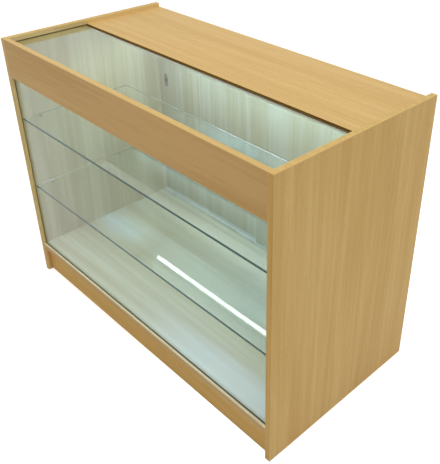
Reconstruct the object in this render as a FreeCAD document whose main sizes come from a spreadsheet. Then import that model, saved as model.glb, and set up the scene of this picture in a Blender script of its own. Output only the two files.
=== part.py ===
import FreeCAD, Part
import math
import os
import Sketcher

# Display counter: a boarded case with a glazed front, a half glazed top, two glass shelves,
# two sliding doors at the server's side and a lamp under the top.
# Millimetres, +Z up, customer's side towards -Y, origin on the floor under the middle of the case.

SIZES = {
    # case
    "width": 1200,
    "depth": 600,
    "height": 900,
    "board": 18,
    "edge_round": 0.8,
    "fascia_height": 125,
    "plinth_height": 104,
    "plinth_setback": 17,
    # wooden half of the top
    "top_drop": 13,
    "top_depth": 305,
    "edging": 1.5,
    # panes and the grooves that hold them
    "glass": 6,
    "glass_arris": 0.5,
    "glass_lip": 3.5,
    "front_glass_setback": 9,
    "groove_depth": 6,
    "fascia_groove_depth": 8,
    "groove_clearance": 0.2,
    "pane_end_clearance": 0.5,
    "gasket_height": 2,
    # shelves and their pegs
    "shelf_depth": 409,
    "shelf_front_gap": 2,
    "shelf_end_gap": 2,
    "lower_shelf_rise": 241,
    "upper_shelf_rise": 252,
    "peg_spacing": 288,
    "peg_pin_diameter": 5,
    "peg_pin_length": 10,
    "peg_collar_diameter": 8,
    "peg_collar": 1.5,
    "peg_stub_diameter": 6,
    "peg_stub_length": 10,
    "sleeve_diameter": 9,
    "fitting_clearance": 0.1,
    # sliding doors
    "door": 16,
    "door_overlap": 50,
    "door_rear_setback": 8,
    "door_end_clearance": 1,
    "door_side_clearance": 1,
    "door_lift": 8,
    "track_wall": 2,
    "track_floor": 2,
    "bottom_track_height": 10,
    "top_track_height": 18,
    "glide_length": 40,
    "glide_width": 12,
    "glide_height": 2,
    "glide_inset": 60,
    "glide_pin_diameter": 5,
    "glide_pin_length": 10,
    "running_clearance": 0.3,
    "pull_width": 20,
    "pull_height": 52,
    "pull_wall": 1.5,
    "pull_flange_width": 4,
    "pull_flange": 1.5,
    "pull_round": 0.6,
    "pull_inset": 41,
    "pull_rise": 494,
    # lamp
    "lamp_end_gap": 82,
    "lamp_rear_setback": 164,
    "lamp_width": 24,
    "lamp_wall": 1.5,
    "housing_height": 12,
    "diffuser_depth": 12,
    "diffuser_round": 8,
    "lamp_cap": 5,
    "led_board_width": 16,
    "led_board": 1.2,
    "led_chip_size": 5,
    "led_chip": 0.8,
    "led_end_gap": 12,
    "clip": 1,
    "clip_length": 20,
    "clip_leg": 8,
    "clip_head_gap": 2.2,
    "screw_diameter": 3.5,
    "screw_length": 12,
    "screw_head_diameter": 7,
    "screw_head": 1.8,
    "switch_block_length": 34,
    "switch_length": 14,
    "switch_height": 8,
    "switch_pocket_depth": 5,
    "switch_body_depth": 3,
    "switch_clearance": 0.4,
    "switch_heel_inset": 0.8,
    "switch_proud": 0.8,
    "switch_wing_rise": 0.9,
    "switch_tilt": 8,
    "inlet_width": 12,
    "inlet_height": 6,
    "inlet_depth": 9,
    "inlet_pin_diameter": 2,
    "inlet_pin_length": 7,
    "inlet_pin_spacing": 6,
    # fittings inside the boards
    "cam_diameter": 15,
    "cam_depth": 13.5,
    "cam_setback": 24,
    "cam_slot_length": 9,
    "cam_slot_width": 1.6,
    "cam_slot_depth": 2,
    "cam_bore_diameter": 7,
    "bolt_thread_diameter": 5,
    "bolt_thread_length": 11,
    "bolt_shank_diameter": 6,
    "bolt_bore_diameter": 8,
    "bolt_tip_gap": 1,
    "dowel_diameter": 8,
    "dowel_in_panel": 12,
    "dowel_in_board": 18,
    "dowel_chamfer": 1,
    "hole_end_clearance": 0.5,
    "cut_overrun": 1,
}

# Places along each joint, as shares of the joined board's depth or height.
BASE_CAM_SHARES = (0.14, 0.86)
BASE_DOWEL_SHARES = (0.3, 0.7)
TOP_CAM_SHARES = (0.25, 0.68)
TOP_DOWEL_SHARES = (0.12, 0.5)
FASCIA_CAM_SHARES = (0.42,)
FASCIA_DOWEL_SHARES = (0.2, 0.65)
PLINTH_CAM_SHARES = (0.5,)
PLINTH_DOWEL_SHARES = (0.22, 0.78)
CLIP_SHARES = (0.12, 0.5, 0.88)
LED_COUNT = 48

doc = FreeCAD.newDocument("display_counter")
sheet = doc.addObject("Spreadsheet::Sheet", "Sizes")
for row, (alias, size) in enumerate(SIZES.items(), start=1):
    sheet.set(f"A{row}", alias)
    sheet.set(f"B{row}", str(size))
    sheet.setAlias(f"B{row}", alias)
doc.recompute()

# Levels and planes that several pieces share, as expressions on the sheet.
inner_width = "(Sizes.width - 2 * Sizes.board)"
left_inner = "(-Sizes.width / 2 + Sizes.board)"
right_inner = "(Sizes.width / 2 - Sizes.board)"
front = "(-Sizes.depth / 2)"
rear = "(Sizes.depth / 2)"
base_top = "(Sizes.plinth_height + Sizes.board)"
fascia_bottom = "(Sizes.height - Sizes.fascia_height)"
top_surface = "(Sizes.height - Sizes.top_drop)"
top_under = f"({top_surface} - Sizes.board)"
top_front = f"({rear} - Sizes.top_depth)"
top_wood_depth = "(Sizes.top_depth - Sizes.edging)"
glass_top = f"({top_surface} - Sizes.glass_lip)"
glass_under = f"({glass_top} - Sizes.glass)"
slot_width = "(Sizes.glass + 2 * Sizes.groove_clearance)"
pane_insert = "(Sizes.groove_depth - Sizes.pane_end_clearance)"
pane_width = f"({inner_width} + 2 * {pane_insert})"
lower_shelf_under = f"({base_top} + Sizes.lower_shelf_rise)"
upper_shelf_under = f"({lower_shelf_under} + Sizes.glass + Sizes.upper_shelf_rise)"
shelf_front = f"({front} + Sizes.front_glass_setback + Sizes.glass + Sizes.shelf_front_gap)"
shelf_middle = f"({shelf_front} + Sizes.shelf_depth / 2)"
door_width = f"(({inner_width} + Sizes.door_overlap) / 2 - Sizes.door_end_clearance)"
door_channel = "(Sizes.door + 2 * Sizes.door_side_clearance)"
door_pitch = f"({door_channel} + Sizes.track_wall)"
left_door_front = f"({rear} - Sizes.door_rear_setback - Sizes.door)"
right_door_front = f"({left_door_front} - {door_pitch})"
track_front = f"({right_door_front} - Sizes.door_side_clearance - Sizes.track_wall)"
track_width = f"(2 * {door_pitch} + Sizes.track_wall)"
track_run = f"({base_top} + Sizes.track_floor)"
door_bottom = f"({track_run} + Sizes.running_clearance + Sizes.glide_height)"
door_top = f"({top_under} - Sizes.track_floor - Sizes.door_lift)"
door_height = f"({door_top} - {door_bottom})"
left_door_start = f"({left_inner} + Sizes.door_end_clearance)"
right_door_start = f"({right_inner} - Sizes.door_end_clearance - {door_width})"
lamp_start = f"({left_inner} + Sizes.lamp_end_gap)"
lamp_length = f"({inner_width} - 2 * Sizes.lamp_end_gap)"
lamp_middle = f"({rear} - Sizes.lamp_rear_setback)"
lamp_front = f"({lamp_middle} - Sizes.lamp_width / 2)"
housing_start = f"({lamp_start} + Sizes.lamp_cap)"
housing_length = f"({lamp_length} - Sizes.lamp_cap - Sizes.switch_block_length)"
housing_under = f"({top_under} - Sizes.clip - Sizes.clip_head_gap - Sizes.housing_height)"
lamp_under = f"({housing_under} - Sizes.diffuser_depth)"
switch_block_start = f"({housing_start} + {housing_length})"
housing_middle = "(Sizes.diffuser_depth + Sizes.housing_height / 2)"

NODES = []


def number(expression):
    """Value of an expression on the sheet."""
    return float(sheet.evalExpression(expression))


def bind(item, expressions):
    """Ties properties of an object to the sheet."""
    for name, expression in expressions.items():
        item.setExpression(name, expression)


def place(item, x, y, z):
    bind(item, {"Placement.Base.x": x, "Placement.Base.y": y, "Placement.Base.z": z})


def node(item, label):
    """Marks a finished sub-part, whose label names its file."""
    item.Label = label
    NODES.append(item)
    return item


def new_body(name, x="0", y="0", z="0"):
    body = doc.addObject("PartDesign::Body", name)
    place(body, x, y, z)
    return body


def origin_feature(body, role):
    for feature in body.Origin.OriginFeatures:
        if feature.Role == role:
            return feature
    raise RuntimeError(f"{body.Label} has no {role}")


def sketch_on(body, name, role, x="0", y="0", lift="0"):
    """Sketch on an origin plane, shifted in the plane by x and y and along its normal by lift."""
    sketch = body.newObject("Sketcher::SketchObject", f"{body.Name}_{name}")
    sketch.AttachmentSupport = [(origin_feature(body, role), "")]
    sketch.MapMode = "FlatFace"
    shifts = {"AttachmentOffset.Base.x": x, "AttachmentOffset.Base.y": y, "AttachmentOffset.Base.z": lift}
    bind(sketch, shifts)
    return sketch


def pin_point(sketch, geometry, vertex, u, v):
    """Ties one point of a sketch to the sheet. A sketch calls its level axis -1 and its upright one -2."""
    for kind, axis, expression in (("DistanceX", -2, u), ("DistanceY", -1, v)):
        if expression == "0":
            sketch.addConstraint(Sketcher.Constraint("PointOnObject", geometry, vertex, axis))
            continue
        value = number(expression)
        rule = sketch.addConstraint(Sketcher.Constraint(kind, -1, 1, geometry, vertex, value))
        sketch.setExpression(f"Constraints[{rule}]", expression)


def polygon(sketch, points):
    """Closed outline through points that are pairs of expressions."""
    corners = [FreeCAD.Vector(number(u), number(v), 0) for u, v in points]
    following = corners[1:] + corners[:1]
    lines = [sketch.addGeometry(Part.LineSegment(a, b)) for a, b in zip(corners, following)]
    for line, next_line in zip(lines, lines[1:] + lines[:1]):
        sketch.addConstraint(Sketcher.Constraint("Coincident", line, 2, next_line, 1))
    for line, (u, v) in zip(lines, points):
        pin_point(sketch, line, 1, u, v)


def rectangle(sketch, u, v, length, height):
    far_u = f"({u} + {length})"
    far_v = f"({v} + {height})"
    polygon(sketch, [(u, v), (far_u, v), (far_u, far_v), (u, far_v)])


def circles(sketch, centres, diameter):
    for u, v in centres:
        centre = FreeCAD.Vector(number(u), number(v), 0)
        ring = sketch.addGeometry(Part.Circle(centre, FreeCAD.Vector(0, 0, 1), number(diameter) / 2))
        pin_point(sketch, ring, 3, u, v)
        rule = sketch.addConstraint(Sketcher.Constraint("Diameter", ring, number(diameter)))
        sketch.setExpression(f"Constraints[{rule}]", diameter)


def oval(sketch, width, height):
    """Upright oval about the sketch's origin: two straight sides and two half rounds."""
    radius = number(width) / 2
    reach = number(height) / 2 - radius
    normal = FreeCAD.Vector(0, 0, 1)
    upper_round = Part.Circle(FreeCAD.Vector(0, reach, 0), normal, radius)
    lower_round = Part.Circle(FreeCAD.Vector(0, -reach, 0), normal, radius)
    upper = sketch.addGeometry(Part.ArcOfCircle(upper_round, 0, math.pi))
    left = sketch.addGeometry(
        Part.LineSegment(FreeCAD.Vector(-radius, reach, 0), FreeCAD.Vector(-radius, -reach, 0)))
    lower = sketch.addGeometry(Part.ArcOfCircle(lower_round, math.pi, 2 * math.pi))
    right = sketch.addGeometry(
        Part.LineSegment(FreeCAD.Vector(radius, -reach, 0), FreeCAD.Vector(radius, reach, 0)))
    ring = (upper, left, lower, right)
    for item, next_item in zip(ring, ring[1:] + ring[:1]):
        sketch.addConstraint(Sketcher.Constraint("Tangent", item, 2, next_item, 1))
    sketch.addConstraint(Sketcher.Constraint("Vertical", right))
    rise = f"({height} - {width}) / 2"
    pin_point(sketch, upper, 3, "0", rise)
    pin_point(sketch, lower, 3, "0", f"-{rise}")
    rule = sketch.addConstraint(Sketcher.Constraint("Radius", upper, radius))
    sketch.setExpression(f"Constraints[{rule}]", f"{width} / 2")


def pad(body, sketch, length, backward=False):
    feature = body.newObject("PartDesign::Pad", f"{sketch.Name}_pad")
    feature.Profile = sketch
    feature.Reversed = backward
    feature.setExpression("Length", length)
    sketch.Visibility = False
    doc.recompute()
    return feature


def cut(body, sketch, depth, backward=False):
    """Pocket, which has to take material away."""
    before = body.Shape.Volume
    feature = body.newObject("PartDesign::Pocket", f"{sketch.Name}_cut")
    feature.Profile = sketch
    feature.Reversed = backward
    feature.setExpression("Length", depth)
    sketch.Visibility = False
    doc.recompute()
    if body.Shape.Volume >= before:
        raise RuntimeError(f"{feature.Name} cuts nothing")
    return feature


def dress(body, kind, size_property, size, wanted):
    """Fillet or chamfer on the edges that the test picks."""
    base = body.Tip
    names = [f"Edge{i}" for i, edge in enumerate(base.Shape.Edges, start=1) if wanted(edge.BoundBox)]
    feature = body.newObject(f"PartDesign::{kind}", f"{body.Name}_{kind}_{len(body.Group)}")
    feature.Base = (base, names)
    feature.setExpression(size_property, size)
    doc.recompute()
    return feature


def round_edges(body, radius, wanted):
    return dress(body, "Fillet", "Radius", radius, wanted)


def every_edge(box):
    return True


def lies_along_x(box):
    return box.YLength + box.ZLength < box.XLength


def bores(body, name, role, lift, centres, diameter, depth, backward=False):
    """Round blind holes, all from one face."""
    sketch = sketch_on(body, name, role, lift=lift)
    circles(sketch, centres, diameter)
    return cut(body, sketch, depth, backward)


def spread(start, length, shares):
    return [f"({start} + {length} * {share})" for share in shares]


def group(label, items):
    """One node made of separate solids."""
    item = doc.addObject("Part::Compound", label)
    item.Links = items
    return node(item, label)


def copy_of(pattern, name, x, y, z, turn=None):
    """Another piece of the same pattern, turned and moved."""
    link = doc.addObject("App::Link", name)
    link.LinkedObject = pattern
    link.Placement = FreeCAD.Placement(FreeCAD.Vector(), turn or FreeCAD.Rotation())
    place(link, x, y, z)
    return link


def block(name, x, y, z, length, width, height):
    item = doc.addObject("Part::Box", name)
    bind(item, {"Length": length, "Width": width, "Height": height})
    place(item, x, y, z)
    return item


def turned_profile(body, name, outline):
    """Solid turned about the body's X axis from an outline above it."""
    sketch = sketch_on(body, name, "XY_Plane")
    polygon(sketch, outline)
    feature = body.newObject("PartDesign::Revolution", f"{body.Name}_turning")
    feature.Profile = sketch
    feature.ReferenceAxis = (origin_feature(body, "X_Axis"), [""])
    sketch.Visibility = False
    doc.recompute()
    return feature


# Where boards meet the end panels: places across the depth and above the floor.

def joint_places():
    """Cam and dowel places for every joined board, in the end panels' own coordinates."""
    half = "Sizes.board / 2"
    base_level = f"(Sizes.plinth_height + {half})"
    top_level = f"({top_under} + {half})"
    top_start = f"(Sizes.depth - {top_wood_depth})"
    fascia_line = f"({half})"
    front_line = f"(Sizes.plinth_setback + {half})"
    rear_line = f"(Sizes.depth - Sizes.plinth_setback - {half})"
    cams = [(y, base_level) for y in spread("0", "Sizes.depth", BASE_CAM_SHARES)]
    cams += [(y, top_level) for y in spread(top_start, top_wood_depth, TOP_CAM_SHARES)]
    cams += [(fascia_line, z) for z in spread(fascia_bottom, "Sizes.fascia_height", FASCIA_CAM_SHARES)]
    dowels = [(y, base_level) for y in spread("0", "Sizes.depth", BASE_DOWEL_SHARES)]
    dowels += [(y, top_level) for y in spread(top_start, top_wood_depth, TOP_DOWEL_SHARES)]
    dowels += [(fascia_line, z) for z in spread(fascia_bottom, "Sizes.fascia_height", FASCIA_DOWEL_SHARES)]
    for line in (front_line, rear_line):
        cams += [(line, z) for z in spread("0", "Sizes.plinth_height", PLINTH_CAM_SHARES)]
        dowels += [(line, z) for z in spread("0", "Sizes.plinth_height", PLINTH_DOWEL_SHARES)]
    return cams, dowels


CAM_PLACES, DOWEL_PLACES = joint_places()
PEG_PLACES = [
    (f"({shelf_middle} - {front} + {side} * Sizes.peg_spacing / 2)", f"({under} - Sizes.sleeve_diameter / 2)")
    for under in (lower_shelf_under, upper_shelf_under)
    for side in (-1, 1)
]


def end_panel(label, start, inner_lift, backward):
    """Upright board with the pane grooves and the fitting holes in its inner face."""
    body = new_body(label, start, front, "0")
    outline = sketch_on(body, "outline", "YZ_Plane")
    rectangle(outline, "0", "0", "Sizes.depth", "Sizes.height")
    pad(body, outline, "Sizes.board")
    round_edges(body, "Sizes.edge_round", every_edge)
    front_groove = sketch_on(body, "front_glass_groove", "YZ_Plane", lift=inner_lift)
    groove_foot = f"({base_top} - Sizes.groove_depth)"
    groove_head = f"({fascia_bottom} + Sizes.fascia_groove_depth)"
    groove_edge = "(Sizes.front_glass_setback - Sizes.groove_clearance)"
    rectangle(front_groove, groove_edge, groove_foot, slot_width, f"({groove_head} - {groove_foot})")
    cut(body, front_groove, "Sizes.groove_depth", backward)
    top_groove = sketch_on(body, "top_glass_groove", "YZ_Plane", lift=inner_lift)
    groove_start = "(Sizes.board - Sizes.groove_depth)"
    groove_end = "(Sizes.depth - Sizes.top_depth + Sizes.groove_depth)"
    groove_floor = f"({glass_under} - Sizes.groove_clearance)"
    groove_height = "(Sizes.glass + Sizes.gasket_height + Sizes.groove_clearance)"
    rectangle(top_groove, groove_start, groove_floor, f"({groove_end} - {groove_start})", groove_height)
    cut(body, top_groove, "Sizes.groove_depth", backward)
    fitting_holes = (
        ("bolt_holes", CAM_PLACES, "Sizes.bolt_thread_diameter", "Sizes.bolt_thread_length"),
        ("dowel_holes", DOWEL_PLACES, "Sizes.dowel_diameter", "Sizes.dowel_in_panel"),
        ("peg_holes", PEG_PLACES, "Sizes.peg_pin_diameter", "Sizes.peg_pin_length"),
    )
    for name, centres, diameter, depth in fitting_holes:
        bore = f"({diameter} + 2 * Sizes.fitting_clearance)"
        deep = f"({depth} + Sizes.hole_end_clearance)"
        bores(body, name, "YZ_Plane", inner_lift, centres, bore, deep, backward)
    return node(body, label)


def end_bores(body, cam_centres, dowel_centres):
    """Bolt and dowel holes in both ends of a board that runs between the end panels."""
    bolt_bore = "(Sizes.bolt_bore_diameter + 2 * Sizes.fitting_clearance)"
    dowel_bore = "(Sizes.dowel_diameter + 2 * Sizes.fitting_clearance)"
    dowel_deep = "(Sizes.dowel_in_board + Sizes.hole_end_clearance)"
    for end, lift, backward in (("left", "0", True), ("right", inner_width, False)):
        bores(body, f"{end}_bolts", "YZ_Plane", lift, cam_centres, bolt_bore, "Sizes.cam_setback", backward)
        bores(body, f"{end}_dowels", "YZ_Plane", lift, dowel_centres, dowel_bore, dowel_deep, backward)


def cam_pockets(body, role, lift, lines, backward):
    """Round pockets for the cam discs at both ends of a board; lines are places across the face."""
    ends = ("Sizes.cam_setback", f"({inner_width} - Sizes.cam_setback)")
    centres = [(end, line) for line in lines for end in ends]
    bore = "(Sizes.cam_diameter + 2 * Sizes.fitting_clearance)"
    deep = "(Sizes.cam_depth + Sizes.hole_end_clearance)"
    bores(body, "cam_pockets", role, lift, centres, bore, deep, backward)


def flat_board(label, y, z, depth):
    """Level board between the end panels."""
    body = new_body(label, left_inner, y, z)
    outline = sketch_on(body, "outline", "XY_Plane")
    rectangle(outline, "0", "0", inner_width, depth)
    pad(body, outline, "Sizes.board")
    return body


def upright_board(label, y, z, height):
    """Upright board between the end panels, facing the customer."""
    body = new_body(label, left_inner, y, z)
    outline = sketch_on(body, "outline", "XY_Plane")
    rectangle(outline, "0", "0", inner_width, "Sizes.board")
    pad(body, outline, height)
    round_edges(body, "Sizes.edge_round", lies_along_x)
    return body


def upright_fittings(body, height, cam_shares, dowel_shares, lift, backward):
    """Fitting holes of an upright board; lift and backward say which face holds the cam discs."""
    middle = "(Sizes.board / 2)"
    cam_lines = spread("0", height, cam_shares)
    dowel_lines = spread("0", height, dowel_shares)
    end_bores(body, [(middle, line) for line in cam_lines], [(middle, line) for line in dowel_lines])
    cam_pockets(body, "XZ_Plane", lift, cam_lines, backward)


def front_fascia():
    body = upright_board("front_fascia", front, fascia_bottom, "Sizes.fascia_height")
    lower_groove = sketch_on(body, "front_glass_groove", "XY_Plane")
    groove_edge = "(Sizes.front_glass_setback - Sizes.groove_clearance)"
    rectangle(lower_groove, "0", groove_edge, inner_width, slot_width)
    cut(body, lower_groove, "Sizes.fascia_groove_depth", backward=True)
    rear_groove = sketch_on(body, "top_glass_groove", "XZ_Plane", lift="-Sizes.board")
    groove_floor = f"({glass_under} - Sizes.groove_clearance - {fascia_bottom})"
    rectangle(rear_groove, "0", groove_floor, inner_width, slot_width)
    cut(body, rear_groove, "Sizes.groove_depth", backward=True)
    height = "Sizes.fascia_height"
    upright_fittings(body, height, FASCIA_CAM_SHARES, FASCIA_DOWEL_SHARES, "-Sizes.board", True)
    return node(body, "front_fascia")


def plinth(label, y, lift, backward):
    body = upright_board(label, y, "0", "Sizes.plinth_height")
    upright_fittings(body, "Sizes.plinth_height", PLINTH_CAM_SHARES, PLINTH_DOWEL_SHARES, lift, backward)
    return node(body, label)


def flat_fittings(body, depth, cam_shares, dowel_shares):
    """Fitting holes of a level board, with the cam discs let into its underside."""
    middle = "(Sizes.board / 2)"
    cam_lines = spread("0", depth, cam_shares)
    dowel_lines = spread("0", depth, dowel_shares)
    end_bores(body, [(line, middle) for line in cam_lines], [(line, middle) for line in dowel_lines])
    cam_pockets(body, "XY_Plane", "0", cam_lines, True)


def base_board():
    body = flat_board("base_board", front, "Sizes.plinth_height", "Sizes.depth")
    round_edges(body, "Sizes.edge_round", lies_along_x)
    groove = sketch_on(body, "front_glass_groove", "XY_Plane", lift="Sizes.board")
    groove_edge = "(Sizes.front_glass_setback - Sizes.groove_clearance)"
    rectangle(groove, "0", groove_edge, inner_width, slot_width)
    cut(body, groove, "Sizes.groove_depth")
    flat_fittings(body, "Sizes.depth", BASE_CAM_SHARES, BASE_DOWEL_SHARES)
    return node(body, "base_board")


def clip_places():
    """Lamp clip places along the board that carries them."""
    start = f"({lamp_start} - {left_inner})"
    return spread(start, lamp_length, CLIP_SHARES)


def top_board():
    body = flat_board("top_board", f"({top_front} + Sizes.edging)", top_under, top_wood_depth)
    rear_line = number(top_wood_depth)

    def along_rear_edge(box):
        return lies_along_x(box) and math.isclose(box.YMin, rear_line)

    round_edges(body, "Sizes.edge_round", along_rear_edge)
    groove = sketch_on(body, "top_glass_groove", "XZ_Plane")
    groove_floor = f"({glass_under} - Sizes.groove_clearance - {top_under})"
    rectangle(groove, "0", groove_floor, inner_width, slot_width)
    cut(body, groove, "(Sizes.groove_depth - Sizes.edging)")
    flat_fittings(body, top_wood_depth, TOP_CAM_SHARES, TOP_DOWEL_SHARES)
    screw_line = f"({lamp_middle} - {top_front} - Sizes.edging)"
    screws = [(x, screw_line) for x in clip_places()]
    pilot = "(Sizes.screw_diameter + 2 * Sizes.fitting_clearance)"
    deep = "(Sizes.screw_length + Sizes.hole_end_clearance)"
    bores(body, "screw_holes", "XY_Plane", "0", screws, pilot, deep, True)
    return node(body, "top_board")


def top_board_edging():
    """Dark strips on the top board's front edge, parted by the glass groove."""
    upper_foot = f"({glass_top} + Sizes.groove_clearance)"
    lower_head = f"({glass_under} - Sizes.groove_clearance)"
    spans = (("upper_edging", upper_foot, top_surface), ("lower_edging", top_under, lower_head))
    strips = [
        block(name, left_inner, top_front, foot, inner_width, "Sizes.edging", f"({head} - {foot})")
        for name, foot, head in spans
    ]
    return group("top_board_edging", strips)


def pane(label, role, x, y, z, length, width):
    """Glass sheet with polished edges, drawn on one origin plane."""
    body = new_body(label, x, y, z)
    outline = sketch_on(body, "outline", role)
    rectangle(outline, "0", "0", length, width)
    pad(body, outline, "Sizes.glass", backward=(role == "XZ_Plane"))
    dress(body, "Chamfer", "Size", "Sizes.glass_arris", every_edge)
    return node(body, label)


def panes():
    pane_left = f"({left_inner} - {pane_insert})"
    front_foot = f"({base_top} - {pane_insert})"
    front_head = f"({fascia_bottom} + Sizes.fascia_groove_depth - Sizes.pane_end_clearance)"
    front_face = f"({front} + Sizes.front_glass_setback)"
    front_height = f"({front_head} - {front_foot})"
    pane("front_glass", "XZ_Plane", pane_left, front_face, front_foot, pane_width, front_height)
    top_start = f"({front} + Sizes.board - {pane_insert})"
    top_end = f"({top_front} + {pane_insert})"
    pane("top_glass", "XY_Plane", pane_left, top_start, glass_under, pane_width, f"({top_end} - {top_start})")
    shelf_left = f"({left_inner} + Sizes.shelf_end_gap)"
    shelf_width = f"({inner_width} - 2 * Sizes.shelf_end_gap)"
    for label, under in (("lower_glass_shelf", lower_shelf_under), ("upper_glass_shelf", upper_shelf_under)):
        pane(label, "XY_Plane", shelf_left, shelf_front, under, shelf_width, "Sizes.shelf_depth")


def gaskets():
    """Dark strips over the top glass, in the end panels' grooves."""
    start = f"({front} + Sizes.board)"
    length = f"({top_front} - {start})"
    sides = (("left", f"({left_inner} - Sizes.groove_depth)"), ("right", right_inner))
    for side, x in sides:
        label = f"top_glass_{side}_gasket"
        strip = block(label, x, start, glass_top, "Sizes.groove_depth", length, "Sizes.gasket_height")
        node(strip, label)


def to_both_sides(pattern, name, places):
    """Copies of a piece that points along +X, set on both end panels' inner faces."""
    half_turn = FreeCAD.Rotation(FreeCAD.Vector(0, 0, 1), 180)
    copies = []
    for index, (y, z) in enumerate(places):
        across = f"({front} + {y})"
        copies.append(copy_of(pattern, f"{name}_left_{index}", left_inner, across, z))
        copies.append(copy_of(pattern, f"{name}_right_{index}", right_inner, across, z, half_turn))
    return copies


def stepped_outline(steps):
    """Half outline of a turned piece: steps are (start, end, diameter) along the axis."""
    points = [(steps[0][0], "0")]
    for start, end, diameter in steps:
        points += [(start, f"({diameter} / 2)"), (end, f"({diameter} / 2)")]
    points.append((steps[-1][1], "0"))
    return points


def shelf_pegs():
    peg = new_body("peg_pattern")
    collar_end = "Sizes.peg_collar"
    stub_end = "(Sizes.peg_collar + Sizes.peg_stub_length)"
    steps = [
        ("-Sizes.peg_pin_length", "0", "Sizes.peg_pin_diameter"),
        ("0", collar_end, "Sizes.peg_collar_diameter"),
        (collar_end, stub_end, "Sizes.peg_stub_diameter"),
    ]
    turned_profile(peg, "outline", stepped_outline(steps))
    group("shelf_pegs", to_both_sides(peg, "peg", PEG_PLACES))
    sleeve = new_body("sleeve_pattern")
    bore = "(Sizes.peg_stub_diameter / 2 + Sizes.fitting_clearance)"
    outside = "(Sizes.sleeve_diameter / 2)"
    tube = [(collar_end, bore), (stub_end, bore), (stub_end, outside), (collar_end, outside)]
    turned_profile(sleeve, "outline", tube)
    group("shelf_peg_sleeves", to_both_sides(sleeve, "sleeve", PEG_PLACES))


GLIDE_PLACES = ("Sizes.glide_inset", f"({door_width} - Sizes.glide_inset)")


def sliding_door(label, x, y, pull_place):
    body = new_body(label, x, y, door_bottom)
    outline = sketch_on(body, "outline", "XY_Plane")
    rectangle(outline, "0", "0", door_width, "Sizes.door")
    pad(body, outline, door_height)
    round_edges(body, "Sizes.edge_round", every_edge)
    pull_level = f"(Sizes.pull_rise + {base_top} - {door_bottom})"
    pull_slot = sketch_on(body, "pull_slot", "XZ_Plane", x=pull_place, y=pull_level)
    clearance = "2 * Sizes.fitting_clearance"
    oval(pull_slot, f"(Sizes.pull_width + {clearance})", f"(Sizes.pull_height + {clearance})")
    cut(body, pull_slot, "Sizes.door")
    centres = [(place_along, "(Sizes.door / 2)") for place_along in GLIDE_PLACES]
    bore = f"(Sizes.glide_pin_diameter + {clearance})"
    deep = "(Sizes.glide_pin_length + Sizes.hole_end_clearance)"
    bores(body, "glide_holes", "XY_Plane", "0", centres, bore, deep, True)
    return node(body, label)


def finger_pull(label, x, y):
    """Oval cup through the door, open to the server's side, with a flange on that face."""
    body = new_body(label, x, y, f"({base_top} + Sizes.pull_rise)")
    cup = sketch_on(body, "cup", "XZ_Plane")
    oval(cup, "Sizes.pull_width", "Sizes.pull_height")
    pad(body, cup, "Sizes.door", backward=True)
    flange = sketch_on(body, "flange", "XZ_Plane", lift="-Sizes.door")
    rim = "2 * Sizes.pull_flange_width"
    oval(flange, f"(Sizes.pull_width + {rim})", f"(Sizes.pull_height + {rim})")
    pad(body, flange, "Sizes.pull_flange", backward=True)
    mouth = "(Sizes.door + Sizes.pull_flange)"
    hollow = sketch_on(body, "hollow", "XZ_Plane", lift=f"-{mouth}")
    walls = "2 * Sizes.pull_wall"
    oval(hollow, f"(Sizes.pull_width - {walls})", f"(Sizes.pull_height - {walls})")
    cut(body, hollow, f"({mouth} - Sizes.pull_wall)", backward=True)
    mouth_plane = number(mouth)

    def on_mouth(box):
        return box.YMin > mouth_plane - number("Sizes.pull_round")

    round_edges(body, "Sizes.pull_round", on_mouth)
    return node(body, label)


def glide_pattern():
    """Nylon shoe with a pin that fits up into the door."""
    body = new_body("glide_pattern")
    shoe = sketch_on(body, "shoe", "XY_Plane", lift="-Sizes.glide_height")
    corner_u = "(-Sizes.glide_length / 2)"
    corner_v = "(-Sizes.glide_width / 2)"
    rectangle(shoe, corner_u, corner_v, "Sizes.glide_length", "Sizes.glide_width")
    pad(body, shoe, "Sizes.glide_height")
    pin = sketch_on(body, "pin", "XY_Plane")
    circles(pin, [("0", "0")], "Sizes.glide_pin_diameter")
    pad(body, pin, "Sizes.glide_pin_length")
    return body


def sliding_doors():
    right_pull = f"({door_width} - Sizes.pull_inset)"
    glide = glide_pattern()
    doors = (
        ("left", left_door_start, left_door_front, "Sizes.pull_inset"),
        ("right", right_door_start, right_door_front, right_pull),
    )
    for side, x, y, pull_place in doors:
        sliding_door(f"{side}_door", x, y, pull_place)
        finger_pull(f"{side}_door_pull", f"({x} + {pull_place})", y)
        middle = f"({y} + Sizes.door / 2)"
        shoes = [
            copy_of(glide, f"{side}_glide_{index}", f"({x} + {along})", middle, door_bottom)
            for index, along in enumerate(GLIDE_PLACES)
        ]
        group(f"{side}_door_glides", shoes)


def track(label, z, height, upside_down):
    """Double channel that both doors run in."""
    body = new_body(label, left_inner, track_front, z)
    points = [("0", "0"), (track_width, "0")]
    for channel in (1, 0):
        wall_rear = f"({channel + 1} * {door_pitch} + Sizes.track_wall)"
        wall_front = f"({channel + 1} * {door_pitch})"
        channel_front = f"({channel} * {door_pitch} + Sizes.track_wall)"
        points += [(wall_rear, height), (wall_front, height)]
        points += [(wall_front, "Sizes.track_floor"), (channel_front, "Sizes.track_floor")]
    points += [("Sizes.track_wall", height), ("0", height)]
    if upside_down:
        levels = {"0": height, height: "0", "Sizes.track_floor": f"({height} - Sizes.track_floor)"}
        points = [(u, levels[v]) for u, v in points]
    outline = sketch_on(body, "outline", "YZ_Plane")
    polygon(outline, points)
    pad(body, outline, inner_width)
    return node(body, label)


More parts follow.
